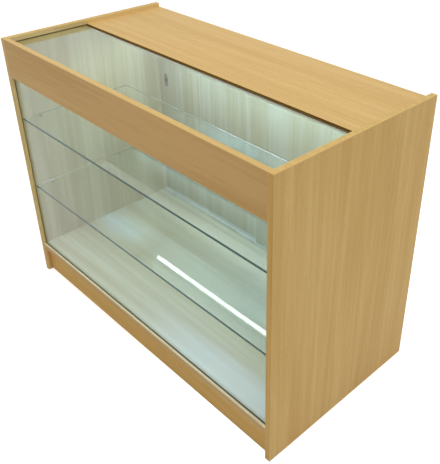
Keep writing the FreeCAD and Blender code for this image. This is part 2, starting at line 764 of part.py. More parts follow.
def lamp_housing():
    body = new_body("lamp_housing", housing_start, lamp_front, housing_under)
    web = "(Sizes.housing_height - Sizes.lamp_wall)"
    far = "(Sizes.lamp_width - Sizes.lamp_wall)"
    near = "Sizes.lamp_wall"
    outline = sketch_on(body, "outline", "YZ_Plane")
    across = "Sizes.lamp_width"
    tall = "Sizes.housing_height"
    inner = [("0", "0"), (near, "0"), (near, web), (far, web), (far, "0")]
    polygon(outline, inner + [(across, "0"), (across, tall), ("0", tall)])
    pad(body, outline, housing_length)
    return node(body, "lamp_housing")


def lamp_led_board():
    """Strip of light emitting chips under the housing's web."""
    level = f"({housing_under} + Sizes.housing_height - Sizes.lamp_wall - Sizes.led_board)"
    body = new_body("lamp_led_board", housing_start, f"({lamp_middle} - Sizes.led_board_width / 2)", level)
    strip = sketch_on(body, "strip", "XY_Plane")
    rectangle(strip, "0", "0", housing_length, "Sizes.led_board_width")
    pad(body, strip, "Sizes.led_board")
    chip = sketch_on(body, "chip", "XY_Plane")
    chip_edge = "((Sizes.led_board_width - Sizes.led_chip_size) / 2)"
    rectangle(chip, "Sizes.led_end_gap", chip_edge, "Sizes.led_chip_size", "Sizes.led_chip_size")
    chip_pad = pad(body, chip, "Sizes.led_chip", backward=True)
    row = body.newObject("PartDesign::LinearPattern", "chip_row")
    row.Originals = [chip_pad]
    row.Direction = (origin_feature(body, "X_Axis"), [""])
    row.setExpression("Length", f"({housing_length} - 2 * Sizes.led_end_gap - Sizes.led_chip_size)")
    row.Occurrences = LED_COUNT
    body.Tip = row
    doc.recompute()
    return node(body, "lamp_led_board")


def lamp_diffuser():
    """Frosted trough with rounded lower corners."""
    body = new_body("lamp_diffuser", housing_start, lamp_front, lamp_under)
    far = "(Sizes.lamp_width - Sizes.lamp_wall)"
    near = "Sizes.lamp_wall"
    deep = "Sizes.diffuser_depth"
    outline = sketch_on(body, "outline", "YZ_Plane")
    outer = [("0", deep), ("0", "0"), ("Sizes.lamp_width", "0"), ("Sizes.lamp_width", deep)]
    polygon(outline, outer + [(far, deep), (far, near), (near, near), (near, deep)])
    pad(body, outline, housing_length)
    wall = number(near)

    def outer_corner(box):
        return lies_along_x(box) and box.ZMax < wall / 2

    def inner_corner(box):
        return lies_along_x(box) and math.isclose(box.ZMax, wall, abs_tol=wall / 10)

    round_edges(body, "(Sizes.diffuser_round - Sizes.lamp_wall)", inner_corner)
    round_edges(body, "Sizes.diffuser_round", outer_corner)
    return node(body, "lamp_diffuser")


def lamp_end(label, x, length):
    """Block with the lamp's outline across."""
    body = new_body(label, x, lamp_front, lamp_under)
    outline = sketch_on(body, "outline", "YZ_Plane")
    rectangle(outline, "0", "0", "Sizes.lamp_width", "(Sizes.diffuser_depth + Sizes.housing_height)")
    pad(body, outline, length)

    def lower_corner(box):
        return lies_along_x(box) and box.ZMax < number("Sizes.diffuser_round") / 2

    round_edges(body, "Sizes.diffuser_round", lower_corner)
    return body


def lamp_switch_block():
    body = lamp_end("lamp_switch_block", switch_block_start, "Sizes.switch_block_length")
    opening = sketch_on(body, "switch_pocket", "XZ_Plane", lift="-Sizes.lamp_width")
    opening_start = "((Sizes.switch_block_length - Sizes.switch_length) / 2)"
    opening_foot = f"({housing_middle} - Sizes.switch_height / 2)"
    rectangle(opening, opening_start, opening_foot, "Sizes.switch_length", "Sizes.switch_height")
    cut(body, opening, "Sizes.switch_pocket_depth", backward=True)
    inlet = sketch_on(body, "inlet", "YZ_Plane", lift="Sizes.switch_block_length")
    inlet_start = "((Sizes.lamp_width - Sizes.inlet_width) / 2)"
    inlet_foot = f"({housing_middle} - Sizes.inlet_height / 2)"
    rectangle(inlet, inlet_start, inlet_foot, "Sizes.inlet_width", "Sizes.inlet_height")
    cut(body, inlet, "Sizes.inlet_depth")
    return node(body, "lamp_switch_block")


def lamp_switch():
    """Rocker, resting with one wing pressed in, that turns about an upright axis."""
    pivot_x = f"({switch_block_start} + Sizes.switch_block_length / 2)"
    pivot_y = f"({lamp_front} + Sizes.lamp_width)"
    foot = f"({lamp_under} + {housing_middle} - Sizes.switch_height / 2 + Sizes.switch_clearance)"
    body = new_body("lamp_switch", pivot_x, pivot_y, foot)
    tilt = FreeCAD.Rotation(FreeCAD.Vector(0, 0, 1), number("Sizes.switch_tilt"))
    body.Placement = FreeCAD.Placement(body.Placement.Base, tilt)
    body.setExpression("Placement.Rotation.Angle", "Sizes.switch_tilt")
    reach = "(Sizes.switch_length / 2 - Sizes.switch_clearance)"
    wing = "(Sizes.switch_proud + Sizes.switch_wing_rise)"
    inside = "(-Sizes.switch_body_depth)"
    outline = sketch_on(body, "outline", "XY_Plane")
    crest = [(reach, wing), ("0", "Sizes.switch_proud"), (f"(-{reach})", wing)]
    heel = f"({reach} - Sizes.switch_heel_inset)"
    polygon(outline, [(f"(-{heel})", inside), (heel, inside)] + crest)
    pad(body, outline, "(Sizes.switch_height - 2 * Sizes.switch_clearance)")
    return node(body, "lamp_switch")


def lamp_inlet_pins():
    floor_x = f"({switch_block_start} + Sizes.switch_block_length - Sizes.inlet_depth)"
    level = f"({lamp_under} + {housing_middle})"
    along_x = FreeCAD.Rotation(FreeCAD.Vector(0, 1, 0), 90)
    pins = []
    for side in (-1, 1):
        pin = doc.addObject("Part::Cylinder", "inlet_pin")
        bind(pin, {"Radius": "Sizes.inlet_pin_diameter / 2", "Height": "Sizes.inlet_pin_length"})
        pin.Placement = FreeCAD.Placement(FreeCAD.Vector(), along_x)
        place(pin, floor_x, f"({lamp_middle} + {side} * Sizes.inlet_pin_spacing / 2)", level)
        pins.append(pin)
    return group("lamp_inlet_pins", pins)


def lamp_clips():
    """Spring clips that grip the housing's sides, and the screws that hold them to the top board."""
    clip = new_body("clip_pattern")
    inside = "(Sizes.lamp_width / 2)"
    outside = "(Sizes.lamp_width / 2 + Sizes.clip)"
    ceiling = "(-Sizes.clip)"
    foot = "(-Sizes.clip - Sizes.clip_head_gap - Sizes.clip_leg)"
    outline = sketch_on(clip, "outline", "YZ_Plane", lift="-Sizes.clip_length / 2")
    outer = [(f"(-{outside})", foot), (f"(-{outside})", "0"), (outside, "0"), (outside, foot)]
    inner = [(inside, foot), (inside, ceiling), (f"(-{inside})", ceiling), (f"(-{inside})", foot)]
    polygon(outline, outer + inner)
    pad(clip, outline, "Sizes.clip_length")
    hole = sketch_on(clip, "screw_hole", "XY_Plane")
    circles(hole, [("0", "0")], "(Sizes.screw_diameter + 2 * Sizes.fitting_clearance)")
    cut(clip, hole, "Sizes.clip")
    screw = new_body("screw_pattern")
    head = sketch_on(screw, "head", "XY_Plane", lift="(-Sizes.clip - Sizes.screw_head)")
    circles(head, [("0", "0")], "Sizes.screw_head_diameter")
    pad(screw, head, "Sizes.screw_head")
    shank = sketch_on(screw, "shank", "XY_Plane", lift="(-Sizes.clip)")
    circles(shank, [("0", "0")], "Sizes.screw_diameter")
    pad(screw, shank, "Sizes.screw_length")
    for label, pattern in (("lamp_clips", clip), ("lamp_clip_screws", screw)):
        copies = [
            copy_of(pattern, f"{label}_{index}", f"({left_inner} + {along})", lamp_middle, top_under)
            for index, along in enumerate(clip_places())
        ]
        group(label, copies)


def lamp():
    lamp_housing()
    lamp_led_board()
    lamp_diffuser()
    node(lamp_end("lamp_left_cap", lamp_start, "Sizes.lamp_cap"), "lamp_left_cap")
    lamp_switch_block()
    lamp_switch()
    lamp_inlet_pins()
    lamp_clips()


def bolts_and_dowels():
    bolt = new_body("bolt_pattern")
    tip = "(Sizes.cam_setback - Sizes.bolt_tip_gap)"
    steps = [
        ("-Sizes.bolt_thread_length", "0", "Sizes.bolt_thread_diameter"),
        ("0", tip, "Sizes.bolt_shank_diameter"),
    ]
    turned_profile(bolt, "outline", stepped_outline(steps))
    group("cam_bolts", to_both_sides(bolt, "bolt", CAM_PLACES))
    dowel = new_body("dowel_pattern")
    radius = "(Sizes.dowel_diameter / 2)"
    nose = f"({radius} - Sizes.dowel_chamfer)"
    start = "(-Sizes.dowel_in_panel)"
    end = "Sizes.dowel_in_board"
    waist = [(f"({start} + Sizes.dowel_chamfer)", radius), (f"({end} - Sizes.dowel_chamfer)", radius)]
    turned_profile(dowel, "outline", [(start, "0"), (start, nose)] + waist + [(end, nose), (end, "0")])
    group("wood_dowels", to_both_sides(dowel, "dowel", DOWEL_PLACES))


def cam_pattern():
    """Disc, its slotted face at the origin, with a bore towards -X for the bolt's shank."""
    body = new_body("cam_pattern")
    disc = sketch_on(body, "disc", "XY_Plane")
    circles(disc, [("0", "0")], "Sizes.cam_diameter")
    pad(body, disc, "Sizes.cam_depth")
    outside = "(Sizes.cam_diameter / 2 + Sizes.cut_overrun)"
    bolt_line = [("0", "(Sizes.board / 2)")]
    bore_depth = f"({outside} + Sizes.bolt_tip_gap)"
    bore = "Sizes.cam_bore_diameter"
    bores(body, "bolt_bore", "YZ_Plane", f"(-{outside})", bolt_line, bore, bore_depth, True)
    slot = sketch_on(body, "slot", "XY_Plane")
    corner_u = "(-Sizes.cam_slot_length / 2)"
    corner_v = "(-Sizes.cam_slot_width / 2)"
    rectangle(slot, corner_u, corner_v, "Sizes.cam_slot_length", "Sizes.cam_slot_width")
    cut(body, slot, "Sizes.cam_slot_depth", backward=True)
    return body


def cam_discs():
    """Discs in the undersides of the level boards and in the hidden faces of the upright ones."""
    pattern = cam_pattern()
    upward = FreeCAD.Rotation()
    forward = FreeCAD.Rotation(FreeCAD.Vector(1, 0, 0), 90)
    backward = FreeCAD.Rotation(FreeCAD.Vector(1, 0, 0), -90)
    half_turn = FreeCAD.Rotation(FreeCAD.Vector(0, 0, 1), 180)
    base_lines = spread(front, "Sizes.depth", BASE_CAM_SHARES)
    top_lines = spread(f"({top_front} + Sizes.edging)", top_wood_depth, TOP_CAM_SHARES)
    fascia_lines = spread(fascia_bottom, "Sizes.fascia_height", FASCIA_CAM_SHARES)
    plinth_lines = spread("0", "Sizes.plinth_height", PLINTH_CAM_SHARES)
    fascia_face = f"({front} + Sizes.board)"
    front_plinth_face = f"({front} + Sizes.plinth_setback + Sizes.board)"
    rear_plinth_face = f"({rear} - Sizes.plinth_setback - Sizes.board)"
    seats = [(line, "Sizes.plinth_height", upward) for line in base_lines]
    seats += [(line, top_under, upward) for line in top_lines]
    seats += [(fascia_face, line, forward) for line in fascia_lines]
    seats += [(front_plinth_face, line, forward) for line in plinth_lines]
    seats += [(rear_plinth_face, line, backward) for line in plinth_lines]
    left_x = f"({left_inner} + Sizes.cam_setback)"
    right_x = f"({right_inner} - Sizes.cam_setback)"
    discs = []
    for index, (y, z, turn) in enumerate(seats):
        discs.append(copy_of(pattern, f"cam_left_{index}", left_x, y, z, turn))
        discs.append(copy_of(pattern, f"cam_right_{index}", right_x, y, z, turn * half_turn))
    group("cam_discs", discs)


def case():
    end_panel("left_end_panel", "(-Sizes.width / 2)", "Sizes.board", False)
    end_panel("right_end_panel", right_inner, "0", True)
    front_fascia()
    base_board()
    plinth("front_plinth", f"({front} + Sizes.plinth_setback)", "-Sizes.board", True)
    plinth("rear_plinth", f"({rear} - Sizes.plinth_setback - Sizes.board)", "0", False)
    top_board()
    top_board_edging()


case()
panes()
gaskets()
shelf_pegs()
sliding_doors()
track("door_bottom_track", base_top, "Sizes.bottom_track_height", False)
track("door_top_track", f"({top_under} - Sizes.top_track_height)", "Sizes.top_track_height", True)
lamp()
bolts_and_dowels()
cam_discs()
doc.recompute()

for item in doc.Objects:
    if "Invalid" in item.State or "Error" in item.State:
        raise RuntimeError(f"{item.Label} failed: {item.State}")
for item in NODES:
    if item.Shape.isNull() or not item.Shape.isValid():
        raise RuntimeError(f"{item.Label} has no valid shape")

os.makedirs("parts", exist_ok=True)
for item in NODES:
    item.Shape.exportStep(f"parts/{item.Label}.step")
    print(item.Label, len(item.Shape.Solids), round(item.Shape.Volume))
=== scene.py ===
import math

import bmesh
import bpy
from mathutils import Matrix, Vector


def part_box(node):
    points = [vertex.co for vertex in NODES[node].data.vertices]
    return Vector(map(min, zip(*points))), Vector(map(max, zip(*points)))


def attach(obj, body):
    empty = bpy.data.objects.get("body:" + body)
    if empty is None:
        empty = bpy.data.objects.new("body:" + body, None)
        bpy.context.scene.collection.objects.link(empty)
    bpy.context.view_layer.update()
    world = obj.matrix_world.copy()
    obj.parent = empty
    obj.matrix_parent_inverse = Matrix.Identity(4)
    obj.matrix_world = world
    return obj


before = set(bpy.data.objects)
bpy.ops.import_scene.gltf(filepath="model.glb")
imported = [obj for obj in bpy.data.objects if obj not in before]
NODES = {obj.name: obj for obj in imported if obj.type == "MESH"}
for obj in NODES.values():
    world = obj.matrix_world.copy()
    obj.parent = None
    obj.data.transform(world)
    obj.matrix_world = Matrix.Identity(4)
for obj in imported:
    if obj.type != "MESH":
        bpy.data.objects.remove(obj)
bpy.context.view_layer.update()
SCENE = bpy.context.scene
MM = 0.001
X, Y, Z = 0, 1, 2
UP, DOWN = 1, -1
BACK, FRONT = 1, -1

# Camera, found from the counter's corners and outline in the 440 x 464 picture.
PICTURE_WIDTH = 440
PICTURE_HEIGHT = 464
FOCAL_PIXELS = 666.35
CENTRE_PIXEL = (263.86, 188.34)
CAMERA_PLACE = (1.4176, -1.1420, 1.5703)
CAMERA_AZIMUTH = 45.151
CAMERA_ELEVATION = 30.89
CAMERA_ROLL = 0.42
CAMERA_NEAR = 0.05
SENSOR_MM = 36

# Light of the room.
SKY_STRENGTH = 0.52
LIGHT_TARGET = (0, 0, 0.5)
TOP_LIGHT_WATTS = 33
TOP_LIGHT_SIZE = 2.6
TOP_LIGHT_PLACE = (0.1, -0.3, 3.0)
SIDE_LIGHT_WATTS = 10
SIDE_LIGHT_SIZE = 2.0
SIDE_LIGHT_PLACE = (3.0, 0.3, 1.4)

# Light of the counter's own lamp. The spill goes up and to the tops of the doors.
LAMP_GLOW = 20
LAMP_DIM_GLOW = 0.25
LAMP_GLOW_COLOUR = (0.9, 1, 1, 1)
LAMP_WATTS = 2.76
LAMP_COLOUR = (0.69, 1.0, 1.27)
LAMP_SPILL_COLOUR = (0.2, 0.75, 1.6)
LAMP_LIT_WIDTH = 9.3 * MM
LAMP_LIT_RISE = 8 * MM
LAMP_DARK_END = 14 * MM
# Strips of light along the lamp: tilt in degrees from straight down, to the back where positive,
# share of the watts, and colour.
LAMP_STRIPS = (
    (0, 0.62, LAMP_COLOUR),
    (-75, 0.22, LAMP_COLOUR),
    (30, 0.16, LAMP_COLOUR),
    (-110, 0.10, LAMP_SPILL_COLOUR),
    (85, 0.06, LAMP_SPILL_COLOUR),
)
LAMP_STRIP_OFFSET = 0.6

# Floor, with two soft patches of light that show mirrored in the glass: middle, half size and colour.
FLOOR_REACH = 12
FLOOR_GLOW = 0.6
FLOOR_PATCHES = (
    ((0.45, -0.37), (0.60, 0.14), (0.9, 1.35, 1.55)),
    ((-0.63, -0.64), (0.17, 0.08), (0.85, 1.35, 1.95)),
)

# Ranges over which masks change, for noise and for the direction of a surface.
SOFT = (0.3, 0.7)
MIDDLE = (0.35, 0.65)
ALONG_AXIS = (0.55, 0.75)


def srgb(red, green, blue):
    """Colour from 0 to 255 as linear light."""
    def linear(level):
        share = level / 255
        return share / 12.92 if share <= 0.04045 else ((share + 0.055) / 1.055) ** 2.4
    return (linear(red), linear(green), linear(blue), 1)


def dimmed(colour, share):
    """The same colour, darker."""
    return tuple(share * part for part in colour[:3]) + (1,)


class Graph:
    """Node tree of one material."""

    def __init__(self, name):
        self.material = bpy.data.materials.new(name)
        self.material.use_nodes = True
        self.tree = self.material.node_tree
        self.tree.nodes.clear()
        self.output = self.tree.nodes.new("ShaderNodeOutputMaterial")

    def add(self, kind, inputs=None, **settings):
        node = self.tree.nodes.new(f"ShaderNode{kind}")
        for key, value in settings.items():
            setattr(node, key, value)
        for key, value in (inputs or {}).items():
            self.feed(node.inputs[key], value)
        return node

    def feed(self, socket, value):
        if isinstance(value, bpy.types.NodeSocket):
            self.tree.links.new(value, socket)
        else:
            socket.default_value = value

    def math(self, operation, first, second=0.0, third=0.0):
        node = self.add("Math", {0: first, 1: second, 2: third}, operation=operation)
        return node.outputs[0]

    def product(self, first, *others):
        for other in others:
            first = self.math("MULTIPLY", first, other)
        return first

    def mix(self, factor, first, second):
        node = self.add("Mix", data_type="RGBA")
        self.feed(node.inputs[0], factor)
        self.feed(node.inputs[6], first)
        self.feed(node.inputs[7], second)
        return node.outputs[2]

    def blend_values(self, factor, first, second):
        node = self.add("Mix", {0: factor, 2: first, 3: second}, data_type="FLOAT")
        return node.outputs[0]

    def mix_shaders(self, factor, first, second):
        return self.add("MixShader", {0: factor, 1: first.outputs[0], 2: second.outputs[0]})

    def step(self, value, low, high, start=0.0, end=1.0):
        """Smooth change from start to end as value goes from low to high."""
        node = self.add("MapRange", interpolation_type="SMOOTHSTEP")
        for index, number in enumerate((value, low, high, start, end)):
            self.feed(node.inputs[index], number)
        return node.outputs[0]

    def place(self, scale, shift=(0, 0, 0)):
        """Object coordinates, scaled and shifted."""
        coordinate = self.add("TexCoord").outputs["Object"]
        mapping = self.add("Mapping", {"Vector": coordinate, "Scale": scale, "Location": shift})
        return mapping.outputs[0]

    def axes(self):
        """The three object coordinates as numbers."""
        coordinate = self.add("TexCoord").outputs["Object"]
        return self.add("SeparateXYZ", {0: coordinate}).outputs

    def direction(self):
        """The three parts of the surface's own direction."""
        normal = self.add("TexCoord").outputs["Normal"]
        return self.add("SeparateXYZ", {0: normal}).outputs

    def across(self, axis, low, high, start=0.0, end=1.0):
        """Faces square to an axis, on either side."""
        part = self.math("ABSOLUTE", self.direction()[axis])
        return self.step(part, low, high, start, end)

    def facing(self, axis, sign):
        """Faces that look up or down an axis, by the sign."""
        part = self.math("MULTIPLY", self.direction()[axis], sign)
        return self.step(part, *SOFT)

    def noise(self, scale, shift=(0, 0, 0), detail=2.0, roughness=0.5, distortion=0.0):
        """Noise with repeats in a metre along each axis."""
        node = self.add("TexNoise", {"Vector": self.place(scale, shift), "Scale": 1.0, "Detail": detail})
        node.inputs["Roughness"].default_value = roughness
        node.inputs["Distortion"].default_value = distortion
        return node.outputs["Fac"]

    def bump(self, height, distance, strength):
        node = self.add("Bump", {"Height": height, "Distance": distance, "Strength": strength})
        return node.outputs[0]

    def principled(self, inputs):
        return self.add("BsdfPrincipled", inputs)

    def finish(self, shader):
        self.tree.links.new(shader.outputs[0], self.output.inputs["Surface"])
        return self.material


def dress(material, *names):
    """Gives CAD nodes their finish."""
    for name in names:
        slots = NODES[name].data.materials
        for index in range(len(slots)):
            slots[index] = material


# Wood

BEECH = srgb(219, 186, 123)
BEECH_DEEP = srgb(205, 168, 103)
BEECH_WARM = srgb(208, 168, 98)
BEECH_FLECK = srgb(172, 128, 68)
BEECH_BAND = srgb(212, 181, 116)
BEECH_BAND_DEEP = srgb(204, 168, 101)
BEECH_WORN = srgb(228, 196, 130)
# Lip colours, lighter than the faces beside them: painted light on the strips of the end panels and base
# board outside the glass, lifting the shade there.
LIT_BEECH_LIP = srgb(230, 200, 138)
LIT_CREAM_LIP = srgb(250, 238, 200)
BASE_BAND = srgb(196, 160, 104)
BASE_BAND_DEEP = srgb(186, 148, 92)
STILE_BAND = srgb(210, 168, 98)
STILE_BAND_DEEP = srgb(199, 156, 86)
PLINTH_BEECH = srgb(230, 190, 120)
PLINTH_BEECH_DEEP = srgb(214, 171, 101)
RED_BEECH = srgb(207, 168, 108)
RED_BEECH_DEEP = srgb(190, 148, 88)
# Paler, cooler tones of the faces in the case, also used for the top board's core: partly the wood's
# tone and partly the lamp's cool light painted in.
PALE_LIT_BEECH = srgb(194, 193, 170)
PALE_LIT_BEECH_DEEP = srgb(178, 169, 132)
DULL_LIT_BEECH = srgb(203, 195, 161)
DULL_LIT_BEECH_DEEP = srgb(183, 170, 130)
WHITE_LIT_BEECH = srgb(212, 210, 184)
WHITE_LIT_BEECH_DEEP = srgb(194, 185, 148)
# Bluish near-white tones: painted light on the base board's strip along the front glass.
PAINTED_LIGHT_BEECH = srgb(228, 229, 223)
PAINTED_LIGHT_BEECH_DEEP = srgb(219, 218, 207)
CHIPBOARD = srgb(128, 96, 60)
CHIPBOARD_DARK = srgb(70, 50, 30)
# Near-white and pale cores: painted light that lifts the shade in the glass grooves of the base board
# and end panels.
LIT_WHITE_CORE = srgb(240, 240, 226)
LIT_WHITE_CORE_DARK = srgb(224, 220, 198)
LIT_PALE_CHIPBOARD = srgb(176, 158, 118)
LIT_PALE_CHIPBOARD_DARK = srgb(150, 130, 92)

# Layers of the grain: repeats in a metre, across and along it.
SWAY_SCALE = (5, 1.6)
BROAD_SCALE = (16, 0.8)
STREAK_SCALE = (70, 2.2)
PORE_SCALE = (620, 22)
FLECK_SCALE = (950, 120)
CHIP_SCALE = (420, 420, 420)
SEED_STEPS = (3.1, 5.3, 7.7)
FIGURE_RANGE = (0.36, 0.64)
FLECK_RANGE = (0.60, 0.70)

# How strong each layer is.
BROAD_SHARE = 0.55
CALM_BROAD_SHARE = 0.8
WARM_SHARE = 0.3
PORE_SHARE = 0.12
FLECK_SHARE = 0.35
INNER_FLECK_SHARE = 0.5
LIT_LIP_SHARE = 0.85
WORN_SHARE = 0.30
WORN_WIDTH = 1.6 * MM
FACING_DEPTH = (0.9 * MM, 1.3 * MM)
WOOD_ROUGHNESS = 0.36
PORE_ROUGHNESS = 0.16
CORE_ROUGHNESS = 0.9
PORE_HEIGHT = 0.5
GRAIN_DEPTH = 0.12 * MM
GRAIN_BUMP = 0.6
WOOD_GLOSS = 0.12
PANEL_GLOSS = 0.05
PLINTH_GLOSS = 0.01

# Where the end panels change to the lip by the top glass, and where light is painted on the base board
# along the front glass.
TOP_LIP_FADE = 22 * MM
PAINTED_LIGHT_BEHIND_GLASS = (0.060, 0.130)
PAINTED_LIGHT_RIGHTWARD = (-0.15, 0.35)


def edge_distances(graph, box):
    """Distances from a board's faces: the nearest face, and the nearest arris."""
    low, high = box
    gaps = []
    for axis, coordinate in enumerate(graph.axes()):
        from_low = graph.math("SUBTRACT", coordinate, low[axis])
        from_high = graph.math("SUBTRACT", high[axis], coordinate)
        gaps.append(graph.math("MINIMUM", from_low, from_high))
    nearest = graph.math("MINIMUM", graph.math("MINIMUM", gaps[0], gaps[1]), gaps[2])
    furthest = graph.math("MAXIMUM", graph.math("MAXIMUM", gaps[0], gaps[1]), gaps[2])
    total = graph.math("ADD", graph.math("ADD", gaps[0], gaps[1]), gaps[2])
    arris = graph.math("SUBTRACT", graph.math("SUBTRACT", total, nearest), furthest)
    return nearest, arris


def wood_layers(graph, grain, seed):
    """Noise layers of a board's wood, stretched along the grain."""
    shift = tuple(seed * length for length in SEED_STEPS)

    def layer(scale, **settings):
        across, along = scale
        stretch = [across, across, across]
        stretch[grain] = along
        return graph.noise(tuple(stretch), shift, **settings)

    return {
        "sway": layer(SWAY_SCALE, detail=1),
        "broad": layer(BROAD_SCALE, detail=3, distortion=0.4),
        "streak": layer(STREAK_SCALE, detail=4, roughness=0.6, distortion=0.3),
        "pores": layer(PORE_SCALE, detail=2),
        "fleck": layer(FLECK_SCALE, detail=1),
    }


def figure(graph, layers, broad_share):
    """Streaks over broad bands, from 0 for deep tones to 1 for light ones."""
    broad = graph.math("MULTIPLY", layers["broad"], broad_share)
    streak = graph.math("MULTIPLY", layers["streak"], 1 - broad_share)
    return graph.step(graph.math("ADD", broad, streak), *FIGURE_RANGE)


def outer_face(graph, layers, flecks, tones):
    """Wood of a board's broad faces outside the case."""
    face = graph.mix(figure(graph, layers, BROAD_SHARE), *tones)
    face = graph.mix(graph.step(layers["sway"], *SOFT, 0, WARM_SHARE), face, BEECH_WARM)
    face = graph.mix(graph.step(layers["pores"], *MIDDLE, 0, PORE_SHARE), face, BEECH_FLECK)
    return graph.mix(flecks, face, BEECH_FLECK)


def inner_face(graph, layers, flecks, tones, painted_light):
    """Faces in the case: paler, cooler wood with the lamp's light partly painted in, calmer on the board
    that has a strip of painted light.
    """
    tone = figure(graph, layers, BROAD_SHARE if painted_light is None else CALM_BROAD_SHARE)
    face = graph.mix(tone, *tones)
    face = graph.mix(graph.math("MULTIPLY", flecks, INNER_FLECK_SHARE), face, tones[0])
    if painted_light is not None:
        painted_lit_face = graph.mix(tone, PAINTED_LIGHT_BEECH_DEEP, PAINTED_LIGHT_BEECH)
        face = graph.mix(painted_light(graph), face, painted_lit_face)
    return face


def beech(name, grain, thin, seed, inside=None, lip=None, outer=(BEECH_DEEP, BEECH),
          pale=(PALE_LIT_BEECH_DEEP, PALE_LIT_BEECH), core=(CHIPBOARD_DARK, CHIPBOARD),
          edge=(BEECH_BAND, BEECH_BAND_DEEP), front_edge=None, lit_lip_colour=LIT_BEECH_LIP,
          painted_light=None, gloss=WOOD_GLOSS):
    """Board faced with beech: grain and thin are its axes along the grain and through it.

    inside picks the paler faces in the case, where the lamp's light is partly painted in, lip the
    strip outside a pane, which gets painted light, and bleach the strip where light is painted.
    """
    graph = Graph(f"beech_{name}")
    layers = wood_layers(graph, grain, seed)
    flecks = graph.step(layers["fleck"], *FLECK_RANGE, 0, FLECK_SHARE)
    face = outer_face(graph, layers, flecks, outer)
    if inside is not None:
        face = graph.mix(inside(graph), face, inner_face(graph, layers, flecks, pale, painted_light))
    streaks = graph.step(layers["streak"], *MIDDLE)
    band = graph.mix(streaks, *edge)
    if front_edge is not None:
        band = graph.mix(graph.across(Y, *ALONG_AXIS), band, graph.mix(streaks, *front_edge))
    colour = graph.mix(graph.across(thin, *ALONG_AXIS), band, face)
    if lip is not None:
        colour = graph.mix(graph.math("MULTIPLY", lip(graph), LIT_LIP_SHARE), colour, lit_lip_colour)
    nearest, arris = edge_distances(graph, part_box(name))
    colour = graph.mix(graph.step(arris, 0.0, WORN_WIDTH, WORN_SHARE, 0.0), colour, BEECH_WORN)
    chips = graph.step(graph.noise(CHIP_SCALE), *MIDDLE)
    in_core = graph.step(nearest, *FACING_DEPTH)
    colour = graph.mix(in_core, colour, graph.mix(chips, *core))
    rough = graph.math("MULTIPLY", layers["pores"], PORE_ROUGHNESS)
    rough = graph.math("ADD", rough, WOOD_ROUGHNESS)
    height = graph.math("MULTIPLY", layers["pores"], PORE_HEIGHT)
    height = graph.math("SUBTRACT", height, flecks)
    shader = graph.principled({
        "Base Color": colour,
        "Roughness": graph.blend_values(in_core, rough, CORE_ROUGHNESS),
        "Specular IOR Level": gloss,
        "Normal": graph.bump(height, GRAIN_DEPTH, GRAIN_BUMP),
    })
    return graph.finish(shader)


def panel_side(graph):
    """The inner sides of both end panels."""
    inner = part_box("right_end_panel")[0].x
    return graph.step(graph.math("ABSOLUTE", graph.axes()[X]), inner, inner + MM, 1, 0)


def panel_inside(graph):
    """The inner faces of the end panels, behind the front glass."""
    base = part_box("base_board")[1].z
    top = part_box("top_glass")[0].z
    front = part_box("front_glass")[1].y
    height = graph.axes()[Z]
    above = graph.step(height, base - MM, base)
    below = graph.step(height, top - TOP_LIP_FADE, top, 1, 0)
    behind = graph.step(graph.axes()[Y], front, front + MM)
    return graph.product(above, below, panel_side(graph), behind)


def panel_lip(graph):
    """The strips of an end panel's inner face before the front glass and around the top glass, which get
    painted light.
    """
    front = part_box("front_glass")[0].y
    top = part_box("top_glass")[0].z
    before = graph.step(graph.axes()[Y], front - MM, front, 1, 0)
    above = graph.step(graph.axes()[Z], top - TOP_LIP_FADE, top)
    return graph.product(panel_side(graph), graph.math("MAXIMUM", before, above))


def base_top(graph):
    """The upper face of the base board."""
    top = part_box("base_board")[1].z
    return graph.step(graph.axes()[Z], top - MM, top - 0.2 * MM)


def base_inside(graph):
    """The upper face of the base board behind the front glass."""
    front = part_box("front_glass")[1].y
    behind = graph.step(graph.axes()[Y], front - MM, front)
    return graph.product(base_top(graph), behind)


def base_painted_light(graph):
    """Painted light: the strip of the base board along the front glass, painted paler and bluer as if
    lit, most at its right.
    """
    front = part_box("front_glass")[1].y
    full, end = PAINTED_LIGHT_BEHIND_GLASS
    strip = graph.step(graph.axes()[Y], front + full, front + end, 1, 0)
    return graph.product(strip, graph.step(graph.axes()[X], *PAINTED_LIGHT_RIGHTWARD))


def base_lip(graph):
    """The strip of the base board before the front glass, which gets painted light."""
    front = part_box("front_glass")[0].y
    before = graph.step(graph.axes()[Y], front, front + MM, 1, 0)
    return graph.product(base_top(graph), before)


def door_inside(graph):
    """The faces of the doors on the case's side."""
    return graph.facing(Y, FRONT)


def fascia_inside(graph):
    """The back of the fascia."""
    return graph.facing(Y, BACK)


def top_inside(graph):
    """The underside of the top board."""
    return graph.facing(Z, DOWN)


def end_panels():
    dull = (DULL_LIT_BEECH_DEEP, DULL_LIT_BEECH)
    lit_core = (LIT_PALE_CHIPBOARD_DARK, LIT_PALE_CHIPBOARD)
    stiles = {"left_end_panel": None, "right_end_panel": (STILE_BAND, STILE_BAND_DEEP)}
    for seed, (name, stile) in enumerate(stiles.items(), start=1):
        wood = beech(name, Z, X, seed, panel_inside, panel_lip, pale=dull, core=lit_core,
                     front_edge=stile, gloss=PANEL_GLOSS)
        dress(wood, name)


